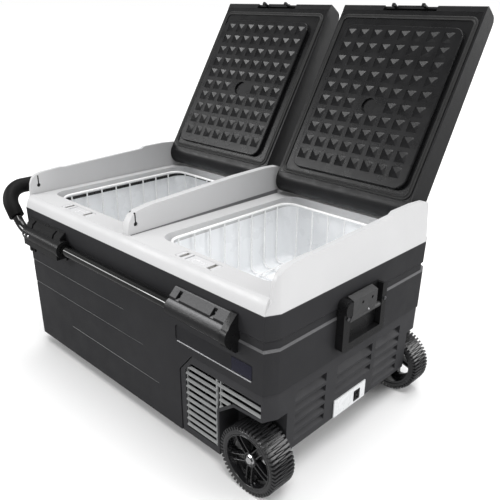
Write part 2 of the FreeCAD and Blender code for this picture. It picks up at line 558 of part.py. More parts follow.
def toothed(y0, y1, phase, n=52):
    pts = []
    for i in range(n):
        for f, r in ((0.10, WHEEL_R), (0.40, WHEEL_R), (0.56, WHEEL_R - 6), (0.94, WHEEL_R - 6)):
            a = 2 * math.pi * (i + f + phase) / n
            pts.append((AXLE_X + r * math.cos(a), AXLE_Z + r * math.sin(a)))
    return prism_xz(pts, y0, y1)


def ring(r_out, r_in, y0, y1):
    a = cyl(r_out, (AXLE_X, y0, AXLE_Z), (0, 1, 0), y1 - y0)
    return a.cut(cyl(r_in, (AXLE_X, y0 - 1, AXLE_Z), (0, 1, 0), y1 - y0 + 2))


def tyre():
    y0, y1 = -WHEEL_OUT_Y, -WHEEL_IN_Y
    third = (y1 - y0 - 4) / 3
    rows = [toothed(y0 + 2 + third * i, y0 + 2 + third * (i + 1), 0.5 * (i % 2)) for i in range(3)]
    shoulder = [ring(WHEEL_R - 6.5, 40, y0, y0 + 4), ring(WHEEL_R - 6.5, 40, y1 - 4, y1)]
    bore = cyl(49, (AXLE_X, y0 - 1, AXLE_Z), (0, 1, 0), y1 - y0 + 2)
    return fuse(rows + shoulder).cut(bore)


def wheel_rim():
    y0, y1 = -WHEEL_OUT_Y, -WHEEL_IN_Y
    barrel = ring(48.8, 45, y0 + 1, y1 - 1)
    web = ring(46, 40, y0 + 18, y0 + 22)
    hub = ring(13, AXLE_R + 0.08, y0 + 11.5, y1)
    bits = [barrel, hub, web]
    for k in range(5):
        for off in (-5.2, 5.2):
            s = box(9, 46, y0 + 6, y0 + 20, off - 2.0, off + 2.0)
            s = s.cut(box(6, 26, y0, y0 + 11.5, -20, 20))
            s.rotate(V(0, 0, 0), V(0, 1, 0), 72 * k + 18)
            s.translate(V(AXLE_X, 0, AXLE_Z))
            bits.append(s)
    whole = fuse(bits)
    return whole.cut(cyl(AXLE_R + 0.08, (AXLE_X, y0 - 1, AXLE_Z), (0, 1, 0), 60))


def hub_bolt():
    y = -WHEEL_OUT_Y + 11
    washer = cyl(10, (AXLE_X, y - 2, AXLE_Z), (0, 1, 0), 2)
    pts = [(AXLE_X + 7 * math.cos(math.radians(60 * i)), AXLE_Z + 7 * math.sin(math.radians(60 * i))) for i in range(6)]
    return fuse([washer, prism_xz(pts, y - 7.5, y - 2)])


wheel_tyre, rim_solid, bolt = tyre(), wheel_rim(), hub_bolt()
save("tyre_front", wheel_tyre)
save("rim_front", rim_solid)
save("hub_bolt_front", bolt)
save("tyre_rear", mirror_y(wheel_tyre))
save("rim_rear", mirror_y(rim_solid))
save("hub_bolt_rear", mirror_y(bolt))

# folding carry handle on the wheel end
HZ0, HZ1 = 219.0, 315.0
HYA, HYB = -70.0, 56.0
HOUSING_X = HX + 15.0   # its front face
OPEN_Y0, OPEN_Y1 = -52.0, 42.0


def rounded_x(x0, x1, y0, y1, z0, z1, r):
    b = box(x0, x1, y0, y1, z0, z1)
    along = [e for e in b.Edges if abs(e.BoundBox.XLength - (x1 - x0)) < 0.01]
    return b.makeFillet(r, along)


housing = rounded_x(HX + 0.2, HOUSING_X, HYA, HYB, HZ0, HZ1, 10)
housing = fuse([housing, cyl(12.5, (HX + 8, -57, 300), (1, 0, 0), 10.2)])
housing = cut(housing, [box(HX + 3, HX + 30, OPEN_Y0, OPEN_Y1, 234, HZ1 + 5)])
PIVOT = V(HX + 9, 0, 274)
HANDLE_SCREWS = ((-60, 283), (50, 284))
housing = cut(housing, [cyl(3.06, (PIVOT.x, -60, PIVOT.z), (0, 1, 0), 112)]
              + [cyl(2.2, (HX, y, z), (1, 0, 0), 30) for y, z in HANDLE_SCREWS])
save("end_handle_housing", housing)
grip = prism_xz([(HX + 5.5, 276), (HX + 14.4, 276), (HX + 18, 288), (HX + 18, 313.5), (HX + 5.5, 318)], -50.5, 20)
grip = fuse([grip, cyl(5.0, (PIVOT.x, -51.5, PIVOT.z), (0, 1, 0), 93)])
grip = cut(grip, [prism_xz([(HX + 4, 266), (HX + 11, 266), (HX + 15, 289), (HX + 15, 300), (HX + 4, 307)], -44, 14),
                  cyl(3.06, (PIVOT.x, -60, PIVOT.z), (0, 1, 0), 112)]
           + [cyl(3.0, (HX + 10, y, 302.8), (1, 0, 0), 20) for y in (-22.6, 5.5)])
save("end_handle_grip", grip)
save("end_handle_pins", cyl(3.0, (PIVOT.x, -58.5, PIVOT.z), (0, 1, 0), 15), cyl(3.0, (PIVOT.x, 35.5, PIVOT.z), (0, 1, 0), 15))

# telescopic pull handle
LEG = [(288, -ROD_Y, ROD_Z), (-362, -ROD_Y, ROD_Z), (-430, -ROD_Y, 371), (-430, ROD_Y, 371), (-362, ROD_Y, ROD_Z),
       (288, ROD_Y, ROD_Z)]
save("pull_handle_tube", pipe(LEG, [60, 45, 45, 60], ROD_R, 8.2))
FOAM = [(-430 + 46.6, -ROD_Y, 371 - 53.45), (-430, -ROD_Y, 371), (-430, ROD_Y, 371), (-430 + 46.6, ROD_Y, 371 - 53.45)]
save("pull_handle_grip", pipe(FOAM, [45, 45], 16.5, ROD_R))


KNOB_X = -324.0


def guide():
    """Clamp housing that the handle tube slides in, near the handle end."""
    x0, x1 = -334.0, -196.0
    plate = box(x0, x1, -HY - 4, -HY + 5, 264, 324)
    body = cyl(16, (x0, -ROD_Y, ROD_Z), (1, 0, 0), x1 - x0)
    skirt = box(x0, x1, -ROD_Y - 13, -HY, 270, 292)
    top = prism_yz([(-HY, 326), (-HY - 13, 316), (-HY - 16, 306), (-HY, 306)], x0, x1)
    g = fuse([plate, body, skirt, top])
    g = cut(g, [cyl(ROD_R + 0.35, (x0 - 1, -ROD_Y, ROD_Z), (1, 0, 0), x1 - x0 + 2)]
            + [box(x0 + a, x0 + a + 6, -HY - 30, -HY - 4, 308, 330) for a in (22, 108)]
            + [cyl(3.0, (KNOB_X, -ROD_Y, 250), (0, 0, 1), 35), case_outline])
    return g


def sleeve():
    """Half-round socket that takes the far end of the tube, under a sloped flange."""
    x0, x1 = 158.0, 291.0
    plate = box(x0, x1, -HY - 4, -HY + 5, 268, 324)
    body = cyl(16, (x0, -ROD_Y, ROD_Z), (1, 0, 0), x1 - x0)
    skirt = prism_yz([(-HY, 270), (-HY - 5, 270), (-ROD_Y - 9, 280), (-ROD_Y - 9, 293), (-HY, 293)], x0, x1)
    top = prism_yz([(-HY, 326), (-HY - 3, 326), (-HY - 16, 313.5), (-HY - 17, 309.5), (-HY - 8, 304), (-HY, 304)],
                   x0 + 1, x1)
    g = fuse([plate, body, skirt, top])
    return cut(g, [cyl(ROD_R + 0.35, (x0 - 1, -ROD_Y, ROD_Z), (1, 0, 0), x1 - x0 + 2)]
               + [box(x0 + a, x0 + a + 8, -HY - 30, -HY - 5, 311, 332) for a in (17, 100)] + [case_outline])


def sleeve_cap():
    x0, x1 = 291.4, 305.0
    disc = cyl(17.5, (x0, -ROD_Y, ROD_Z), (1, 0, 0), x1 - x0)
    back = prism_yz([(-HY + 0.4, 262), (-HY - 6, 262), (-ROD_Y - 13, 279), (-ROD_Y - 13, 303), (-HY - 17, 315),
                     (-HY - 3, 329), (-HY + 0.4, 329)], x0, x1)
    return fuse([disc, back]).cut(case_outline)


def bush():
    x0 = -195.4
    r = cyl(18, (x0, -ROD_Y, ROD_Z), (1, 0, 0), 10).cut(cyl(ROD_R + 0.35, (x0 - 1, -ROD_Y, ROD_Z), (1, 0, 0), 12))
    return r.cut(case_outline)


def knob():
    stem = cyl(2.9, (KNOB_X, -ROD_Y, 262), (0, 0, 1), 14)
    hub = cyl(6.5, (KNOB_X, -ROD_Y, 254), (0, 0, 1), 12)
    wings = box(KNOB_X - 10.5, KNOB_X + 10.5, -ROD_Y - 2.5, -ROD_Y + 2.5, 252, 263)
    return fuse([stem, hub, wings])


for side, turn in (("front", lambda s: s), ("rear", mirror_y)):
    save("handle_guide_%s" % side, turn(guide()))
    save("handle_sleeve_%s" % side, turn(sleeve()))
    save("lock_knob_%s" % side, turn(knob()))
save("sleeve_caps", sleeve_cap(), mirror_y(sleeve_cap()))
save("guide_bushes", bush(), mirror_y(bush()))

# drain plug, feet and screws
plug = fuse([cyl(8.9, (-HX - 2, -204, 50), (1, 0, 0), 14), cyl(13, (-HX - 12, -204, 50), (1, 0, 0), 11.6),
             box(-HX - 18, -HX - 11, -208, -200, 40, 60)])
save("drain_plug", plug)


def foot(x, y):
    return Part.makeCone(17, 21, BASE_Z - GROUND_Z, V(x, y, GROUND_Z), V(0, 0, 1))


save("rubber_feet", foot(-310, -172), foot(-310, 172))


def screw(p, way, r=3.6, h=2.2):
    head = cyl(r, p, way, h)
    return head.cut(box(p[0] - 4, p[0] + 4, p[1] - 0.5, p[1] + 0.5, p[2] - 4, p[2] + 4).common(
        cyl(r, (p[0] + way[0] * h * 0.5, p[1] + way[1] * h * 0.5, p[2] + way[2] * h * 0.5), way, h)))


screws = [screw((HOUSING_X, y, z), (1, 0, 0), 3.2, 2.2) for y, z in HANDLE_SCREWS]
for s in (-1, 1):
    screws += [screw((x, s * (HY + out), 315), (0, s, 0), 2.8, 2.0)
               for x, out in ((-309, 4), (-223, 4), (179, 5), (262, 5))]
save("case_screws", *screws)

# put the origin under the middle of the whole part and write the files
whole = Part.makeCompound(list(parts.values())).BoundBox
shift = V(-(whole.XMin + whole.XMax) / 2, -(whole.YMin + whole.YMax) / 2, -whole.ZMin)
for name, shape in parts.items():
    moved = shape.copy()
    moved.translate(shift)
    bad = "" if moved.isValid() else "  NOT VALID"
    print("%-22s solids %2d  volume %9.0f%s" % (name, len(moved.Solids), moved.Volume, bad))
    moved.exportStep("parts/%s.step" % name)
print("nodes", len(parts), "shift", tuple(round(c, 3) for c in shift), "box", whole)
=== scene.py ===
"""Looks for the dual-zone compressor cooler fridge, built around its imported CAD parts.

Lengths in the piece makers are the design's millimetres: x towards the wheels, -y the front with the
control panel, z up. at() turns them into the row frame's metres.
"""

import json
import math

import bmesh
import bpy
from mathutils import Matrix, Vector


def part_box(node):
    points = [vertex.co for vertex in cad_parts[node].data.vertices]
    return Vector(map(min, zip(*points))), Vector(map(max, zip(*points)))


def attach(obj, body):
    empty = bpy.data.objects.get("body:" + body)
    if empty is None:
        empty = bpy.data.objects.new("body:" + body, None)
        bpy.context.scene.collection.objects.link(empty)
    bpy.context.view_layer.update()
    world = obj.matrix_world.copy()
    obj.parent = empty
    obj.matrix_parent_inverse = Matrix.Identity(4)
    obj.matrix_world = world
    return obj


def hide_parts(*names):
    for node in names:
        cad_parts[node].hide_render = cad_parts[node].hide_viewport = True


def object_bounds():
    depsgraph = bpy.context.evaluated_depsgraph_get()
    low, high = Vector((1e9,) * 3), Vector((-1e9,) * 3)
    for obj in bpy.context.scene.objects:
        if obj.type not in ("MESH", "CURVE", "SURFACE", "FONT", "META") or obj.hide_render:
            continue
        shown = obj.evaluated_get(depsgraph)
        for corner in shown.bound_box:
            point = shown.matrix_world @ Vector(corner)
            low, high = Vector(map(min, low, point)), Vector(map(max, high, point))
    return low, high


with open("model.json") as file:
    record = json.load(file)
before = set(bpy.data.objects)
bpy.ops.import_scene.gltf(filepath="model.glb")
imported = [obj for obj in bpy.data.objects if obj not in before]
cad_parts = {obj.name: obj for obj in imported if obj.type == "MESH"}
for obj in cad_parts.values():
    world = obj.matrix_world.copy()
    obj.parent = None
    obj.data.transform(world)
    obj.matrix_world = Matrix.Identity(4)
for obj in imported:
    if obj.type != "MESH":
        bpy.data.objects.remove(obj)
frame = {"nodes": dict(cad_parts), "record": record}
cad_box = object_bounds()
nodes = frame["nodes"]

MM = 0.001
SEAM_Z = 343.0                      # the collar's underside in the design's own heights
collar_low, collar_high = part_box("top_collar")
ORIGIN = Vector(((collar_low.x + collar_high.x) / 2, (collar_low.y + collar_high.y) / 2,
                 collar_low.z - SEAM_Z * MM))


def at(x, y, z):
    """Design millimetres to row-frame metres."""
    return ORIGIN + Vector((x, y, z)) * MM


# ---------------------------------------------------------------- materials

class Graph:
    """Small helper round a material's node tree."""

    def __init__(self, name):
        self.material = bpy.data.materials.new(name)
        self.material.use_nodes = True
        self.tree = self.material.node_tree
        self.tree.nodes.clear()
        self.out = self.tree.nodes.new("ShaderNodeOutputMaterial")
        self.shader = self.tree.nodes.new("ShaderNodeBsdfPrincipled")
        self.tree.links.new(self.shader.outputs["BSDF"], self.out.inputs["Surface"])
        self.where = self.tree.nodes.new("ShaderNodeTexCoord").outputs["Object"]

    def node(self, kind, **values):
        made = self.tree.nodes.new(kind)
        for key, value in values.items():
            setattr(made, key, value)
        return made

    def link(self, source, target):
        self.tree.links.new(source, target)

    def stretched(self, x, y, z):
        """The object's coordinates scaled along each axis, for a brushed or drawn look."""
        made = self.node("ShaderNodeMapping")
        made.inputs["Scale"].default_value = (x, y, z)
        self.link(self.where, made.inputs["Vector"])
        return made.outputs["Vector"]

    def noise(self, scale, detail=3.0, where=None, distortion=0.0):
        made = self.node("ShaderNodeTexNoise")
        made.inputs["Scale"].default_value = scale
        made.inputs["Detail"].default_value = detail
        made.inputs["Distortion"].default_value = distortion
        self.link(where or self.where, made.inputs["Vector"])
        return made.outputs["Fac"]

    def cells(self, scale):
        made = self.node("ShaderNodeTexVoronoi")
        made.inputs["Scale"].default_value = scale
        self.link(self.where, made.inputs["Vector"])
        return made.outputs["Distance"]

    def ranged(self, source, low, high, source_low=0.3, source_high=0.7):
        """Maps a source range to low..high, clamped at both ends."""
        made = self.node("ShaderNodeMapRange")
        made.inputs["From Min"].default_value = source_low
        made.inputs["From Max"].default_value = source_high
        made.inputs["To Min"].default_value = low
        made.inputs["To Max"].default_value = high
        self.link(source, made.inputs["Value"])
        return made.outputs["Result"]

    def mix(self, amount, first, second):
        """Mixes two colours, each a tuple or an output, by an output or a number."""
        made = self.node("ShaderNodeMix", data_type="RGBA")
        for value, socket in ((amount, made.inputs[0]), (first, made.inputs[6]), (second, made.inputs[7])):
            if isinstance(value, bpy.types.NodeSocket):
                self.link(value, socket)
            elif isinstance(value, tuple):
                socket.default_value = (*value, 1.0)
            else:
                socket.default_value = value
        return made.outputs[2]

    def maths(self, operation, first, second):
        made = self.node("ShaderNodeMath", operation=operation)
        for value, socket in ((first, made.inputs[0]), (second, made.inputs[1])):
            if isinstance(value, bpy.types.NodeSocket):
                self.link(value, socket)
            else:
                socket.default_value = value
        return made.outputs[0]

    def bump(self, height, distance, strength, below=None):
        """A relief over the one below; distance is its height in metres."""
        made = self.node("ShaderNodeBump")
        made.inputs["Strength"].default_value = strength
        made.inputs["Distance"].default_value = distance
        self.link(height, made.inputs["Height"])
        if below is not None:
            self.link(below, made.inputs["Normal"])
        return made.outputs["Normal"]

    def edges(self, radius):
        """0 on flats, up to 1 on an edge, from how far a rounded normal leans from the true one."""
        bent = self.node("ShaderNodeBevel", samples=4)
        bent.inputs["Radius"].default_value = radius
        flat = self.node("ShaderNodeNewGeometry").outputs["Normal"]
        product = self.node("ShaderNodeVectorMath", operation="DOT_PRODUCT")
        self.link(bent.outputs["Normal"], product.inputs[0])
        self.link(flat, product.inputs[1])
        return self.ranged(product.outputs["Value"], 1.0, 0.0, 0.82, 0.99)


def tinted(tone, factor):
    return tuple(min(1.0, c * factor) for c in tone)


def moulded(name, tone, rough, grain, depth, patch, contrast,
            wear_and_glint=0.0, coat=0.0, specular=0.5, top_light_tone=None, slope=(0.32, 0.80)):
    """Injection-moulded plastic: a fine etched grain, faint flow mottling, and edges lightened partly as rubbed
    wear and partly as painted highlights.

    grain and patch are the scales of the etching and the mottling. top_light_tone is a lighter tone painted on
    its upward slopes, a painted highlight of light from above, and slope is how far up they face where that
    starts and where it is complete.
    """
    g = Graph(name)
    flow = g.noise(patch, 4.0, distortion=0.6)
    pits = g.noise(grain, 2.0)
    tiny = g.cells(grain * 0.55)
    colour = g.mix(g.ranged(flow, 0.0, 1.0), tinted(tone, 1 - contrast), tinted(tone, 1 + contrast))
    colour = g.mix(g.ranged(pits, 0.0, 0.5, 0.35, 0.75), colour, tinted(tone, 1 + 2.2 * contrast))
    # Lighter edges: partly rubbed wear, partly a painted highlight like the one light leaves on a rounded edge.
    if wear_and_glint:
        rubbed_and_glinting_edges = g.maths("MULTIPLY", g.edges(0.0012), g.ranged(g.noise(60.0, 5.0), 0.1, 1.0, 0.4, 0.65))
        amount = g.maths("MULTIPLY", rubbed_and_glinting_edges, wear_and_glint)
        colour = g.mix(amount, colour, tinted(tone, 2.4))
    # Upward slopes get a lighter tone: painted light from above.
    if top_light_tone:
        lean = g.node("ShaderNodeSeparateXYZ")
        g.link(g.node("ShaderNodeNewGeometry").outputs["Normal"], lean.inputs[0])
        upward = g.ranged(lean.outputs["Z"], 0.0, 1.0, *slope)
        colour = g.mix(g.maths("MULTIPLY", upward, g.ranged(pits, 0.55, 1.0, 0.3, 0.7)), colour, top_light_tone)
    g.link(colour, g.shader.inputs["Base Color"])
    g.link(g.ranged(g.noise(patch * 4, 3.0), rough[0], rough[1]), g.shader.inputs["Roughness"])
    normal = g.bump(flow, 0.0006, 0.25)
    normal = g.bump(tiny, 0.00025, depth * 2.0, normal)
    g.link(g.bump(pits, 0.0003, depth * 2.5, normal), g.shader.inputs["Normal"])
    g.shader.inputs["Specular IOR Level"].default_value = specular
    g.shader.inputs["Coat Weight"].default_value = coat
    g.shader.inputs["Coat Roughness"].default_value = 0.12
    return g.material


def painted(name, tone, rough, coat, peel_depth=0.35):
    """Gloss powder coat on metal: orange-peel ripple, faint dust and fine handling marks."""
    g = Graph(name)
    peel = g.noise(420.0, 2.0)
    marks = g.noise(90.0, 6.0, g.stretched(1.0, 8.0, 8.0))
    colour = g.mix(g.ranged(marks, 0.0, 0.6, 0.45, 0.75), tone, tinted(tone, 1.9))
    g.link(colour, g.shader.inputs["Base Color"])
    g.link(g.ranged(marks, rough[0], rough[1]), g.shader.inputs["Roughness"])
    g.link(g.bump(peel, 0.00012, peel_depth), g.shader.inputs["Normal"])
    g.shader.inputs["Coat Weight"].default_value = coat
    g.shader.inputs["Coat Roughness"].default_value = 0.06
    return g.material


def metal(name, tone, rough, along=(1.0, 1.0, 1.0)):
    """Bare metal with drawing or turning lines; along is how much they are squeezed on each axis."""
    g = Graph(name)
    lines = g.noise(300.0, 4.0, g.stretched(*along))
    stain = g.noise(25.0, 4.0)
    colour = g.mix(g.ranged(stain, 0.0, 1.0), tinted(tone, 0.86), tone)
    g.link(colour, g.shader.inputs["Base Color"])
    g.link(g.ranged(lines, rough[0], rough[1]), g.shader.inputs["Roughness"])
    g.link(g.bump(lines, 0.0001, 0.3), g.shader.inputs["Normal"])
    g.shader.inputs["Metallic"].default_value = 1.0
    return g.material


def rubbery(name, tone, rough, grain, depth, dust, specular=0.35):
    """Rubber or soft foam: finely pored, with dust in patches."""
    g = Graph(name)
    pores = g.cells(grain)
    cloud = g.noise(22.0, 5.0)
    colour = g.mix(g.ranged(cloud, 0.0, dust, 0.4, 0.75), tone, tinted(tone, 3.0))
    colour = g.mix(g.ranged(pores, 0.35, 0.0, 0.0, 0.5), colour, tinted(tone, 0.45))
    g.link(colour, g.shader.inputs["Base Color"])
    g.link(g.ranged(cloud, rough[0], rough[1]), g.shader.inputs["Roughness"])
    g.link(g.bump(pores, 0.0004, depth, g.bump(cloud, 0.0008, 0.2)), g.shader.inputs["Normal"])
    g.shader.inputs["Specular IOR Level"].default_value = specular
    return g.material


def foamed(name, tone):
    """Cut polyurethane foam."""
    g = Graph(name)
    big, small = g.cells(260.0), g.cells(900.0)
    colour = g.mix(g.ranged(big, 0.0, 0.8, 0.0, 0.5), tinted(tone, 0.8), tone)
    g.link(colour, g.shader.inputs["Base Color"])
    g.link(g.bump(small, 0.0004, 0.6, g.bump(big, 0.001, 0.6)), g.shader.inputs["Normal"])
    g.shader.inputs["Roughness"].default_value = 0.9
    return g.material


def board_finish(name):
    """Solder mask with copper tracks under it."""
    g = Graph(name)
    tracks = g.node("ShaderNodeTexBrick")
    tracks.inputs["Scale"].default_value = 90.0
    tracks.inputs["Mortar Size"].default_value = 0.05
    tracks.inputs["Color1"].default_value = (0.012, 0.12, 0.045, 1)
    tracks.inputs["Color2"].default_value = (0.018, 0.16, 0.06, 1)
    tracks.inputs["Mortar"].default_value = (0.05, 0.3, 0.13, 1)
    turned = g.node("ShaderNodeMapping")
    turned.inputs["Rotation"].default_value = (math.pi / 2, 0, 0)
    g.link(g.where, turned.inputs["Vector"])
    g.link(turned.outputs["Vector"], tracks.inputs["Vector"])
    g.link(tracks.outputs["Color"], g.shader.inputs["Base Color"])
    g.link(g.bump(tracks.outputs["Fac"], 0.0002, 0.4), g.shader.inputs["Normal"])
    g.shader.inputs["Roughness"].default_value = 0.3
    return g.material


CASE = (0.0245, 0.0245, 0.0263)     # the dark plastic of the case and the bay cover
LOOKS = {
    # The case paints its upward faces lighter as painted light from above, and its edges lighter as painted
    # highlights besides real wear.
    "case_plastic": moulded("case_plastic", CASE, (0.42, 0.58), 1000, 0.16, 5, 0.10, wear_and_glint=0.7,
                            specular=0.12, top_light_tone=(0.16, 0.16, 0.165)),
    "bay_plastic": moulded("bay_plastic", tinted(CASE, 1.3), (0.45, 0.6), 1000, 0.16, 5, 0.10, wear_and_glint=0.5,
                           specular=0.16),
    "grille_grey": moulded("grille_grey", (0.215, 0.22, 0.22), (0.45, 0.62), 900, 0.2, 30, 0.06, wear_and_glint=0.1),
    "power_white": moulded("power_white", (0.66, 0.67, 0.68), (0.22, 0.34), 1300, 0.05, 20, 0.02),
    "black_plastic": moulded("black_plastic", (0.009, 0.009, 0.0095), (0.24, 0.38), 1200, 0.1, 18, 0.15,
                             wear_and_glint=0.4, specular=0.2),
    "grip_plastic": moulded("grip_plastic", (0.035, 0.035, 0.036), (0.42, 0.6), 700, 0.3, 18, 0.12, wear_and_glint=0.4),
    "contact_metal": metal("contact_metal", (0.85, 0.76, 0.5), (0.15, 0.3)),
    "collar_grey": moulded("collar_grey", (0.55, 0.55, 0.555), (0.36, 0.5), 900, 0.08, 7, 0.025),
    "strike_grey": moulded("strike_grey", (0.62, 0.62, 0.63), (0.2, 0.3), 1300, 0.04, 18, 0.02, coat=0.3),
    "tub_white": moulded("tub_white", (0.94, 0.955, 0.97), (0.24, 0.36), 1000, 0.03, 6, 0.015, coat=0.2),
    "cold_aluminium": metal("cold_aluminium", (0.78, 0.79, 0.81), (0.25, 0.45), (1, 1, 12)),
    "foam": foamed("foam", (0.84, 0.77, 0.55)),
    "white_wire": moulded("white_wire", (0.93, 0.93, 0.93), (0.18, 0.32), 500, 0.1, 60, 0.02, coat=0.5),
    "lid_plastic": moulded("lid_plastic", (0.010, 0.010, 0.0107), (0.30, 0.42), 850, 0.2, 14, 0.08,
                           wear_and_glint=0.4, specular=0.2),
    "liner_plastic": moulded("liner_plastic", (0.005, 0.005, 0.0055), (0.24, 0.34), 1200, 0.06, 10, 0.12,
                             wear_and_glint=0.8, specular=0.24),
    "seal_rubber": rubbery("seal_rubber", (0.012, 0.012, 0.012), (0.38, 0.55), 1200, 0.2, 0.15),
    "pin_steel": metal("pin_steel", (0.6, 0.6, 0.62), (0.2, 0.38), (1, 14, 1)),
    "panel_gloss": moulded("panel_gloss", (0.014, 0.014, 0.016), (0.38, 0.5), 1100, 0.1, 12, 0.1,
                           wear_and_glint=0.2, specular=0.2),
    "screen_gloss": moulded("screen_gloss", (0.010, 0.010, 0.020), (0.16, 0.24), 1300, 0.02, 30, 0.1,
                            specular=0.25),
    "compressor_black": painted("compressor_black", (0.012, 0.012, 0.012), (0.2, 0.35), 0.4),
    "board_green": board_finish("board_green"),
    "copper_line": metal("copper_line", (0.8, 0.42, 0.26), (0.2, 0.4)),
    "tyre_rubber": rubbery("tyre_rubber", (0.019, 0.019, 0.02), (0.2, 0.32), 800, 0.3, 0.3, 0.6),
    "rim_gloss": moulded("rim_gloss", (0.010, 0.010, 0.011), (0.14, 0.26), 1300, 0.05, 30, 0.15, coat=0.7),
    "chrome_bolt": metal("chrome_bolt", (0.86, 0.86, 0.87), (0.05, 0.16)),
    "handle_tube": painted("handle_tube", (0.004, 0.004, 0.004), (0.04, 0.09), 0.0, 0.06),
    "grip_foam": rubbery("grip_foam", (0.004, 0.004, 0.004), (0.45, 0.6), 520, 0.8, 0.3, 0.15),
    # The sleeves paint their upward tops lighter as painted light from above.
    "sleeve_grey": moulded("sleeve_grey", (0.013, 0.013, 0.0137), (0.32, 0.44), 650, 0.3, 18, 0.12,
                           wear_and_glint=0.3, specular=0.2, top_light_tone=(0.27, 0.27, 0.275), slope=(0.62, 0.88)),
    "slate_grey": moulded("slate_grey", (0.16, 0.16, 0.165), (0.45, 0.6), 900, 0.1, 12, 0.08, specular=0.3),
    "dull_screw": metal("dull_screw", (0.22, 0.22, 0.23), (0.3, 0.5)),
}

slot_of = {part["node"]: part["material_slot"] for part in frame["record"]["subparts"]}


def dress(piece, look):
    piece.data.materials.clear()
    piece.data.materials.append(LOOKS[look])


# ---------------------------------------------------------------- carried-over CAD nodes

SOFT_EDGE = {  # bevel width in millimetres of each CAD node whose moulded edges show
    "outer_shell": 0.7, "bay_cover": 1.0, "front_grille": 0.4, "rear_grille": 0.4, "top_collar": 2.2,
    "power_panel": 0.5, "latch_strike_left": 0.5, "latch_strike_right": 0.5,
    "lid_left_shell": 2.4, "lid_right_shell": 2.4, "lid_left_liner": 0.6, "lid_right_liner": 0.6,
    "lid_left_latch": 0.5, "lid_right_latch": 0.5,
    "control_bezel": 0.4, "end_handle_housing": 1.2, "end_handle_grip": 0.9,
    "handle_guide_front": 0.8, "handle_guide_rear": 0.8, "handle_sleeve_front": 0.8, "handle_sleeve_rear": 0.8,
    "sleeve_caps": 1.2, "guide_bushes": 0.8, "lock_knob_front": 0.6, "lock_knob_rear": 0.6,
    "drain_plug": 0.8, "rubber_feet": 1.0, "fan_frame": 0.6, "compressor": 1.5, "axle_clamps": 0.6,
}

OTHER_LOOK = {  # nodes that look different from the rest of their slot
    "handle_sleeve_front": "sleeve_grey", "handle_sleeve_rear": "sleeve_grey", "case_screws": "dull_screw",
}


def smooth(mesh):
    for polygon in mesh.polygons:
        polygon.use_smooth = True


def soften(piece, width):
    """Rounds the sharp edges over a width in millimetres."""
    edge = piece.modifiers.new("edge", "BEVEL")
    edge.width = width * MM
    edge.segments = 2
    edge.limit_method = "ANGLE"
    edge.angle_limit = math.radians(32)


def flatten(piece):
    """Keeps large faces flat-looking under smooth shading."""
    flat = piece.modifiers.new("flat", "WEIGHTED_NORMAL")
    flat.mode = "FACE_AREA"


for name, node in nodes.items():
    dress(node, OTHER_LOOK.get(name, slot_of[name]))
    smooth(node.data)
    weld = node.modifiers.new("weld", "WELD")
    weld.merge_threshold = 0.01 * MM
    if name in SOFT_EDGE:
        soften(node, SOFT_EDGE[name])
    flatten(node)


# ---------------------------------------------------------------- mesh helpers

class Shape:
    """A mesh being built in design millimetres; place maps its points before at()."""

    def __init__(self, place=None):
        self.bm = bmesh.new()
        self.place = place or (lambda x, y, z: (x, y, z))

    def loft(self, rings, wrap=False, cap=True):
        """Skin between rings of equal length, closed round each ring, and end to end with wrap."""
        made = [[self.bm.verts.new(at(*self.place(*p))) for p in ring] for ring in rings]
        pairs = list(zip(made, made[1:])) + ([(made[-1], made[0])] if wrap else [])
        for a, b in pairs:
            for i in range(len(a)):
                j = (i + 1) % len(a)
                self.bm.faces.new((a[i], a[j], b[j], b[i]))
        if cap and not wrap:
            self.bm.faces.new(made[0][::-1])
            self.bm.faces.new(made[-1])

    def block(self, x0, x1, y0, y1, z0, z1):
        self.loft([[(x0, y0, z), (x1, y0, z), (x1, y1, z), (x0, y1, z)] for z in (z0, z1)])

    def tube(self, points, radius, closed=False, sides=10):
        """Round wire or bar along points."""
        pts = [Vector(p) for p in points]
        count = len(pts)
        rings = []
        side = None
        for i, p in enumerate(pts):
            ahead = pts[(i + 1) % count] if closed or i + 1 < count else p
            behind = pts[i - 1] if closed or i else p
            way = (ahead - behind).normalized()
            if side is None:
                side = way.cross(Vector((0.31, 0.17, 0.93))).normalized()
            side = (side - way * side.dot(way)).normalized()
            other = way.cross(side)
            rings.append([tuple(p + (side * math.cos(t) + other * math.sin(t)) * radius)
                          for t in (2 * math.pi * k / sides for k in range(sides))])
        self.loft(rings, wrap=closed)

    def turned(self, profile, centre_x, centre_z, sides=96):
        """Solid of revolution about a line along y; profile is a closed list of (y, radius)."""
        self.loft([[(centre_x + r * math.cos(t), y, centre_z + r * math.sin(t)) for y, r in profile]
                   for t in (2 * math.pi * k / sides for k in range(sides))], wrap=True)

    def plate_yz(self, outline, x0, x1):
        self.loft([[(x, y, z) for y, z in outline] for x in (x0, x1)])


def rounded_path(points, radius, closed=False, steps=5):
    """Points with each inner corner rounded off."""
    pts = [Vector(p) for p in points]
    count = len(pts)
    out = []
    for i, p in enumerate(pts):
        if not closed and i in (0, count - 1):
            out.append(p)
            continue
        a = (pts[i - 1] - p).normalized()
        b = (pts[(i + 1) % count] - p).normalized()
        half = (math.pi - a.angle(b)) / 2
        reach = radius * math.tan(half)
        centre = p + (a + b).normalized() * (radius / math.cos(half))
        first, last = p + a * reach - centre, p + b * reach - centre
        for k in range(steps + 1):
            out.append(centre + first.slerp(last, k / steps).normalized() * radius)
    return out


def rounded_rect(x0, x1, y0, y1, radius, steps=8):
    """(x, y, outward x, outward y) round a rounded rectangle."""
    out = []
    for cx, cy, start in ((x1 - radius, y1 - radius, 0), (x0 + radius, y1 - radius, 90),
                          (x0 + radius, y0 + radius, 180), (x1 - radius, y0 + radius, 270)):
        for k in range(steps + 1):
            t = math.radians(start + 90 * k / steps)
            out.append((cx + radius * math.cos(t), cy + radius * math.sin(t), math.cos(t), math.sin(t)))
    return out


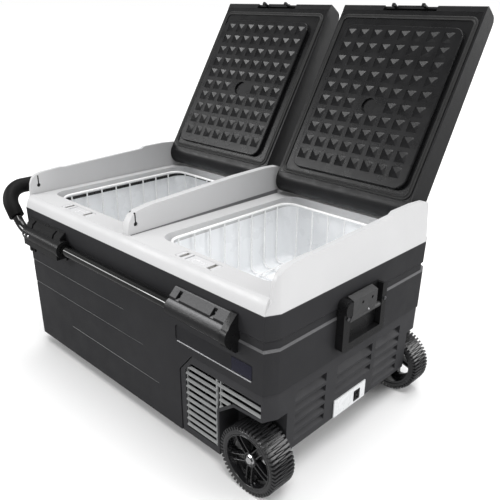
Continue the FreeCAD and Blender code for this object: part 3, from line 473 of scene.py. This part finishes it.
def finish_piece(name, shape, body, look, replaced=(), sharp=35, bevel=0.0):
    """Turns a Shape into a dressed piece that rides on a body.

    sharp is the angle in degrees over which an edge stays crisp.
    """
    bmesh.ops.recalc_face_normals(shape.bm, faces=shape.bm.faces)
    mesh = bpy.data.meshes.new(name)
    shape.bm.to_mesh(mesh)
    shape.bm.free()
    smooth(mesh)
    mesh.set_sharp_from_angle(angle=math.radians(sharp))
    made = bpy.data.objects.new(name, mesh)
    bpy.context.scene.collection.objects.link(made)
    dress(made, look)
    if bevel:
        soften(made, bevel)
        flatten(made)
    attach(made, body)
    if replaced:
        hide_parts(*replaced)


def mirrored_y(x, y, z):
    """From the front side to the rear one."""
    return x, -y, z


def ring_angles(count, turn=0.0):
    """Equally spaced angles round a circle, the first at turn degrees."""
    return [math.radians(360 / count * k + turn) for k in range(count)]


def mirrored_tub(x, y, z):
    """From the right tub to the left one."""
    return -4.0 - x, y, z


# ---------------------------------------------------------------- wheels

AXLE_X, AXLE_Z = 330.0, 65.0
WHEEL_FACE_Y = -240.0    # outer face of the front tyre
TYRE_WIDTH = 50.0
LUG_FOOT_RADIUS = 56.0
LUGS = 52                # on each half of the tread
SPOKES = 5


def spun(r, off, angle):
    """Point r out from the axle and off to its side, at an angle from +x towards +z."""
    return (AXLE_X + r * math.cos(angle) - off * math.sin(angle),
            AXLE_Z + r * math.sin(angle) + off * math.cos(angle))


def tyre(place):
    """Carcass with a smooth sidewall and long pointed lugs that interleave across the tread."""
    shape = Shape(place)
    y = WHEEL_FACE_Y
    half = [(1.2, 49.2), (0.5, 50.3), (0.1, 52.0), (0.0, 53.8), (0.5, 55.4), (1.6, 56.6), (3.4, 57.2)]
    profile = [(y + d, r) for d, r in half] + [(y + TYRE_WIDTH - d, r) for d, r in reversed(half)]
    shape.turned(profile, AXLE_X, AXLE_Z, 104)
    pitch = 2 * math.pi / LUGS
    # depth from the sidewall, half widths at the foot and at the top in pitches, radius of the top
    stations = [(0.5, 0.30, 0.20, 62.2), (2.2, 0.34, 0.25, 62.9), (12.0, 0.31, 0.22, 62.9),
                (24.0, 0.20, 0.13, 62.9), (34.0, 0.08, 0.03, 62.3)]
    for n in range(LUGS):
        for from_back in (False, True):
            middle = (n + (0.5 if from_back else 0.0)) * pitch
            rings = []
            for d, foot, top, radius in stations:
                d = TYRE_WIDTH - d if from_back else d
                ring = []
                for r, aside in ((LUG_FOOT_RADIUS, -foot), (LUG_FOOT_RADIUS, foot), (radius, top),
                                 (radius, -top)):
                    x, z = spun(r, 0.0, middle + aside * pitch)
                    ring.append((x, y + d, z))
                rings.append(ring)
            shape.loft(rings)
    return shape


def rim(place):
    """Moulded rim: bead lip, drum, inner flange, hub cup and five twin-rib spokes with a sunk web."""
    shape = Shape(place)
    y = WHEEL_FACE_Y
    drum = [(1.6, 49.1), (0.7, 48.6), (0.4, 47.6), (0.9, 46.7), (2.4, 46.3), (15.0, 45.3), (15.5, 41.0),
            (19.0, 41.0), (19.5, 45.3), (49.0, 45.6), (49.0, 49.1)]
    shape.turned([(y + d, r) for d, r in drum], AXLE_X, AXLE_Z)
    cup = [(8.2, 13.6), (7.2, 12.9), (7.0, 11.6), (7.6, 10.6), (8.6, 10.2), (11.6, 10.0), (11.6, 6.2),
           (49.6, 6.2), (49.6, 13.6)]
    shape.turned([(y + d, r) for d, r in cup], AXLE_X, AXLE_Z, 64)
    rib_foot = 19.0
    for angle in ring_angles(SPOKES, 54):
        for off in (-5.4, 5.4):
            rings = []
            for r, front, wide in ((12.6, 8.6, 2.6), (20.0, 7.2, 2.3), (34.0, 5.6, 2.1), (41.0, 5.4, 2.4),
                                   (46.4, 6.4, 3.6)):
                ring = []
                for d, w in ((front, -0.36), (front, 0.36), (front + 1.4, 0.62), (rib_foot, 0.75),
                             (rib_foot, -0.75), (front + 1.4, -0.62)):
                    x, z = spun(r, off + w * wide, angle)
                    ring.append((x, y + d, z))
                rings.append(ring)
            shape.loft(rings)
        # the web and its two cross bars: near and far radius, half width, front and back depth
        for near, far, wide, front, back in ((12.0, 44.0, 5.0, 13.5, 15.5), (36.5, 40.5, 10.5, 11.0, 19.0),
                                             (42.0, 46.0, 12.5, 9.0, 17.0)):
            rings = []
            for r in (near, far):
                ring = []
                for off, d in ((-wide, front), (wide, front), (wide, back), (-wide, back)):
                    x, z = spun(r, off, angle)
                    ring.append((x, y + d, z))
                rings.append(ring)
            shape.loft(rings)
    return shape


def hub_bolt(place):
    """Flanged hex bolt with a chamfered head."""
    shape = Shape(place)
    y = WHEEL_FACE_Y
    flange = [(11.2, 2.0), (11.2, 9.2), (10.2, 9.4), (9.4, 8.6), (9.2, 2.0)]
    shape.turned([(y + d, r) for d, r in flange], AXLE_X, AXLE_Z, 48)
    shape.loft([[(AXLE_X + r * math.cos(t), y + d, AXLE_Z + r * math.sin(t)) for t in ring_angles(6, 10)]
                for d, r in ((9.6, 6.9), (5.4, 6.9), (4.4, 6.0), (4.2, 3.6), (5.0, 3.2))])
    return shape


for side, place in (("front", None), ("rear", mirrored_y)):
    body = "wheel_" + side
    finish_piece("tyre_%s_lugged" % side, tyre(place), body, "tyre_rubber", ("tyre_" + side,), sharp=30)
    finish_piece("rim_%s_spoked" % side, rim(place), body, "rim_gloss", ("rim_" + side,), sharp=28,
                 bevel=0.3)
    finish_piece("hub_bolt_%s_hex" % side, hub_bolt(place), body, "chrome_bolt", ("hub_bolt_" + side,),
                 sharp=20)


# ---------------------------------------------------------------- wire baskets and a dark band under the left one's rim

DEEP_FLOOR_Z, SHALLOW_FLOOR_Z = 62.0, 222.0
WIRE_RADIUS, RIM_RADIUS = 1.75, 2.9
WIRE_BEND, RIM_BEND = 14.0, 30.0
END_GAP = 31.0           # from a corner of the rim to the nearest wire


def spread(low, high, count):
    """Places of count wires between two sides of the rim."""
    return [low + END_GAP + (high - low - 2 * END_GAP) * k / (count - 1) for k in range(count)]


def wire_basket(place, floor_z):
    """Coated round wires bent to a U both ways, welded under a thicker rim."""
    shape = Shape(place)
    x0, x1, y0, y1, top = 51.0, 322.0, -171.0, 169.0, 357.8
    rim_line = rounded_path([(x0, y0, top), (x1, y0, top), (x1, y1, top), (x0, y1, top)], RIM_BEND,
                            closed=True, steps=8)
    shape.tube(rim_line, RIM_RADIUS, closed=True, sides=12)
    low = floor_z + 5.0
    for y in spread(y0, y1, 8):
        bent = rounded_path([(x0, y, top), (x0, y, low), (x1, y, low), (x1, y, top)], WIRE_BEND)
        shape.tube(bent, WIRE_RADIUS)
    low += 3.3
    for x in spread(x0, x1, 6):
        bent = rounded_path([(x, y0, top), (x, y0, low), (x, y1, low), (x, y1, top)], WIRE_BEND)
        shape.tube(bent, WIRE_RADIUS)
    return shape


for side, place, floor_z in (("left", mirrored_tub, DEEP_FLOOR_Z), ("right", None, SHALLOW_FLOOR_Z)):
    finish_piece("basket_%s_wires" % side, wire_basket(place, floor_z), "wire_basket_" + side, "white_wire",
                 ("basket_" + side,))

# A dark rubber-toned band round the left tub's mouth, just under the basket rim; the right tub has none.
dark_band = Shape(mirrored_tub)
bead = ((0.1, 343.0), (1.3, 343.4), (1.6, 345.0), (1.6, 348.0), (1.0, 349.6), (0.1, 350.0))
dark_band.loft([[(x - nx * inward, y - ny * inward, z) for inward, z in bead]
            for x, y, nx, ny in rounded_rect(44.0, 331.0, -181.0, 192.0, 28.0)], wrap=True)
finish_piece("tub_left_dark_band", dark_band, "cabinet", "seal_rubber")


# ---------------------------------------------------------------- telescopic handle

BAR_Y, BAR_Z = 247.0, 293.0         # the two straight runs
GRIP_X, GRIP_Z = -430.0, 371.0      # the cross run

bar = Shape()
front_run = [(288.0, -BAR_Y, BAR_Z), (-362.0, -BAR_Y, BAR_Z), (GRIP_X, -BAR_Y, GRIP_Z)]
bar_line = front_run + [mirrored_y(*point) for point in reversed(front_run)]
bar.tube(rounded_path(bar_line, 60, steps=14), 10.0, sides=72)
finish_piece("pull_handle_bar", bar, "pull_handle", "handle_tube", ("pull_handle_tube",), sharp=50)


# ---------------------------------------------------------------- lid gaskets

LID_OPEN = math.radians(-121.45)
HINGE_Y, HINGE_Z = 202.0, 400.0
SEAL_BACK_Y = 194.8                 # the seal's outer edge along the hinge side
SEAL_JOINT_X = 172.0                # where its two ends meet


def opened(x, y, z):
    """A point of a closed right lid, turned to the lid's back stop."""
    dy, dz = y - HINGE_Y, z - HINGE_Z
    return (x, HINGE_Y + dy * math.cos(LID_OPEN) - dz * math.sin(LID_OPEN),
            HINGE_Z + dy * math.sin(LID_OPEN) + dz * math.cos(LID_OPEN))


def opened_left(x, y, z):
    """The same point of the left lid, which mirrors the right one."""
    return opened(-11.0 - x, y, z)


def gasket(place):
    """Twin-bead extruded seal, butt-jointed at the middle of its hinge side."""
    shape = Shape(place)
    section = [(0.0, 371.0), (0.0, 369.4), (0.7, 368.7), (1.8, 368.45), (2.9, 368.8), (3.7, 369.9),
               (4.5, 370.2), (5.3, 369.9), (6.1, 368.8), (7.2, 368.45), (8.3, 368.7), (9.0, 369.4),
               (9.0, 371.0)]
    corner_steps = 10
    line = rounded_rect(19.0, 338.9, -184.0, SEAL_BACK_Y, 18.0, corner_steps)
    first = corner_steps + 1        # points of the first corner, which come last in the open loop
    start = (SEAL_JOINT_X - 0.7, SEAL_BACK_Y, 0.0, 1.0)
    end = (SEAL_JOINT_X + 0.7, SEAL_BACK_Y, 0.0, 1.0)
    loop = [start] + line[first:] + line[:first] + [end]
    shape.loft([[(x - nx * inward, y - ny * inward, z) for inward, z in section] for x, y, nx, ny in loop])
    shape.block(SEAL_JOINT_X - 1.1, SEAL_JOINT_X + 1.1, SEAL_BACK_Y - 9.0, SEAL_BACK_Y, 369.6, 371.0)
    return shape


for side, place in (("right", opened), ("left", opened_left)):
    finish_piece("lid_%s_gasket_beads" % side, gasket(place), "lid_" + side, "seal_rubber",
                 ("lid_%s_gasket" % side,), sharp=50)


# ---------------------------------------------------------------- small fittings

def teardrop(y, z, low_r, high_r, rise, steps=10):
    """Outline in the yz plane: a wide round below and a narrow one above it."""
    outline = []
    for centre_z, radius, turn in ((z, low_r, math.pi), (z + rise, high_r, 0.0)):
        for k in range(steps + 1):
            t = turn + math.pi * k / steps
            outline.append((y + radius * math.cos(t), centre_z + radius * math.sin(t)))
    return outline


def round_head(shape, centre, profile, lengthwise_y=True):
    """A lofted pin or screw head on an axis along y or along x; profile is (place on the axis, radius)."""
    rings = []
    for along, r in profile:
        ring = []
        for t in ring_angles(12):
            across, up = centre[0] + r * math.cos(t), centre[1] + r * math.sin(t)
            ring.append((across, along, up) if lengthwise_y else (along, across, up))
        rings.append(ring)
    shape.loft(rings)


# A black teardrop plate set in each hinge-stay slot: painted shade that makes the slot read dark.
for name, face_x, deep in (("stay_slot_left", -355.9, -2.4), ("stay_slot_right", 355.9, 2.4),
                           ("stay_slot_middle_right", 2.4, -2.2), ("stay_slot_middle_left", -13.4, 2.2)):
    slot_shade_plate = Shape()
    slot_shade_plate.plate_yz(teardrop(-200.0, 386.0, 3.9, 1.45, 20.4), face_x + deep * 0.35, face_x + deep)
    finish_piece(name, slot_shade_plate, "cabinet", "black_plastic")

CASE_HALF_Y = 235.0
CASE_BASE_Z, CASE_STRAIGHT_Z = 30.0, 281.0


def step_face(z):
    """How far the long side stands out from the middle at a height, drawn in by 3.2 at its foot."""
    return CASE_HALF_Y - 3.2 * (CASE_STRAIGHT_Z - z) / (CASE_STRAIGHT_Z - CASE_BASE_Z)


# A pale steel strip along the lower edge of the control panel's recess: a painted highlight standing in for the
# light that ledge catches.
panel_highlight = Shape()
panel_highlight.loft([[(x, y, z) for y, z in ((-234.6, 218.4), (-233.2, 219.5), (-232.8, 218.0))] for x in (153.5, 332.5)])
finish_piece("panel_lower_highlight_strip", panel_highlight, "cabinet", "pin_steel")

# Thin light grey strips along the upper edges of the three side steps: painted highlights standing in for the
# light those ledges catch.
for level, z, x0, x1 in (("upper", 220.0, -358.0, -6.0), ("middle", 166.0, -357.0, 50.0),
                         ("lower", 101.0, -211.0, 93.0)):
    for side, out in (("front", -1), ("rear", 1)):
        highlight_strip = Shape()
        rings = []
        for x, full in ((x0, 1.0), (x0 * 0.4 + x1 * 0.6, 1.0), (x1, 0.35)):    # it thins out at the far end
            section = ((0.5 * full, -0.2), (-1.2, 0.9 * full), (-1.2, -0.6))
            rings.append([(x, out * (step_face(z) + proud), z + up) for proud, up in section])
        highlight_strip.loft(rings)
        finish_piece("painted_step_highlight_%s_%s" % (level, side), highlight_strip, "cabinet", "grille_grey")

DIVIDER_X = -5.5
LEDGE_Z = 368.0

# A slate grey wedge against each side of the divider's foot, taller towards the back: painted shade standing in
# for the shadow there.
for side, out in (("right", 1), ("left", -1)):
    shade_strip = Shape()
    rings = []
    for y, rise in ((-213.0, 0.1), (-100.0, 1.9), (40.0, 4.1), (190.0, 6.4)):
        rings.append([(DIVIDER_X + out * aside, y, z) for aside, z in (
            (8.2, LEDGE_Z - 2.4), (9.9, LEDGE_Z - 2.4), (9.7, LEDGE_Z + rise), (8.2, LEDGE_Z + rise))])
    shade_strip.loft(rings)
    finish_piece("divider_foot_shade_" + side, shade_strip, "cabinet", "slate_grey")

for side, x in (("inner", -308.0), ("outer", -322.0)):
    screw = Shape()
    round_head(screw, (x, 294.0), ((-252.0, 2.7), (-263.4, 2.7), (-264.4, 2.1), (-264.4, 1.3), (-263.8, 1.1)))
    finish_piece("guide_clamp_screw_" + side, screw, "cabinet", "chrome_bolt")

flap_screw = Shape()
round_head(flap_screw, (-4.9, 284.0), ((387.0, 2.1), (388.5, 2.1), (389.0, 1.7), (389.0, 1.0), (388.6, 0.9)),
           lengthwise_y=False)
finish_piece("end_handle_flap_screw", flap_screw, "end_handle", "chrome_bolt")


# ---------------------------------------------------------------- camera, light and floor

def look_direction(azimuth, elevation, roll):
    """Camera matrix for a view round the object: azimuth 0 looks along +y, 90 along -x."""
    a, e, r = (math.radians(v) for v in (azimuth, elevation, roll))
    back = Vector((math.sin(a) * math.cos(e), -math.cos(a) * math.cos(e), math.sin(e)))
    right = Vector((math.cos(a), math.sin(a), 0.0))
    up = back.cross(right)
    x = right * math.cos(r) + up * math.sin(r)
    y = up * math.cos(r) - right * math.sin(r)
    return Matrix((x, y, back)).transposed().to_4x4()


CAMERA_SPOT = (877.2, -807.3, 760.1)
CAMERA_TURN = (43.83, 22.04, 0.70)  # azimuth, elevation and roll in degrees

lens = bpy.data.cameras.new("camera")
lens.sensor_width = 36.0
lens.lens = 43.52
camera = bpy.data.objects.new("camera", lens)
bpy.context.scene.collection.objects.link(camera)
camera.matrix_world = Matrix.Translation(at(*CAMERA_SPOT)) @ look_direction(*CAMERA_TURN)
bpy.context.scene.camera = camera


def soft_sun(name, direction, strength, angle):
    """A studio light far enough away to light the floor evenly; angle is how wide it looks in degrees."""
    light = bpy.data.lights.new(name, "SUN")
    light.energy = strength
    light.angle = math.radians(angle)
    made = bpy.data.objects.new(name, light)
    bpy.context.scene.collection.objects.link(made)
    made.matrix_world = Vector(direction).to_track_quat("Z", "Y").to_matrix().to_4x4()


soft_sun("front_left_softbox", (-0.61, -0.66, 0.43), 1.1, 20)
soft_sun("handle_strip_light", (-0.77, -0.55, 0.32), 0.3, 12)
soft_sun("rear_right_softbox", (0.66, 0.62, 0.30), 2.0, 50)
soft_sun("high_right_softbox", (0.30, -0.22, 0.93), 1.2, 24)
soft_sun("overhead_softbox", (-0.12, 0.22, 0.97), 1.3, 36)

ROOM_LIGHT = 0.42                   # what the room sheds on the object
BACKDROP = 1.0                      # how bright the backdrop looks behind it
world = bpy.data.worlds.new("studio")
world.use_nodes = True
backdrop = world.node_tree.nodes["Background"]
backdrop.inputs["Color"].default_value = (1, 1, 1, 1)
seen = world.node_tree.nodes.new("ShaderNodeLightPath")
strength = world.node_tree.nodes.new("ShaderNodeMapRange")
strength.inputs["To Min"].default_value = ROOM_LIGHT
strength.inputs["To Max"].default_value = BACKDROP
world.node_tree.links.new(seen.outputs["Is Camera Ray"], strength.inputs["Value"])
world.node_tree.links.new(strength.outputs["Result"], backdrop.inputs["Strength"])
bpy.context.scene.world = world
bpy.context.scene.view_settings.view_transform = "Standard"
bpy.context.scene.view_settings.look = "None"

FLOOR_HALF = 120.0                  # metres

floor_mesh = bpy.data.meshes.new("floor")
ground_z = cad_box[0].z
floor_corners = [(x * FLOOR_HALF, y * FLOOR_HALF, ground_z) for x, y in ((-1, -1), (1, -1), (1, 1), (-1, 1))]
floor_mesh.from_pydata(floor_corners, [], [(0, 1, 2, 3)])
floor = bpy.data.objects.new("floor", floor_mesh)
bpy.context.scene.collection.objects.link(floor)
floor_look = Graph("floor")
paper = floor_look.mix(floor_look.ranged(floor_look.noise(3.0), 0.0, 1.0), (0.945,) * 3, (0.955,) * 3)
floor_look.link(paper, floor_look.shader.inputs["Base Color"])
floor_look.shader.inputs["Roughness"].default_value = 0.8
floor_mesh.materials.append(floor_look.material)
floor.visible_glossy = False        # the floor leaves no sheen on the underside of glossy parts
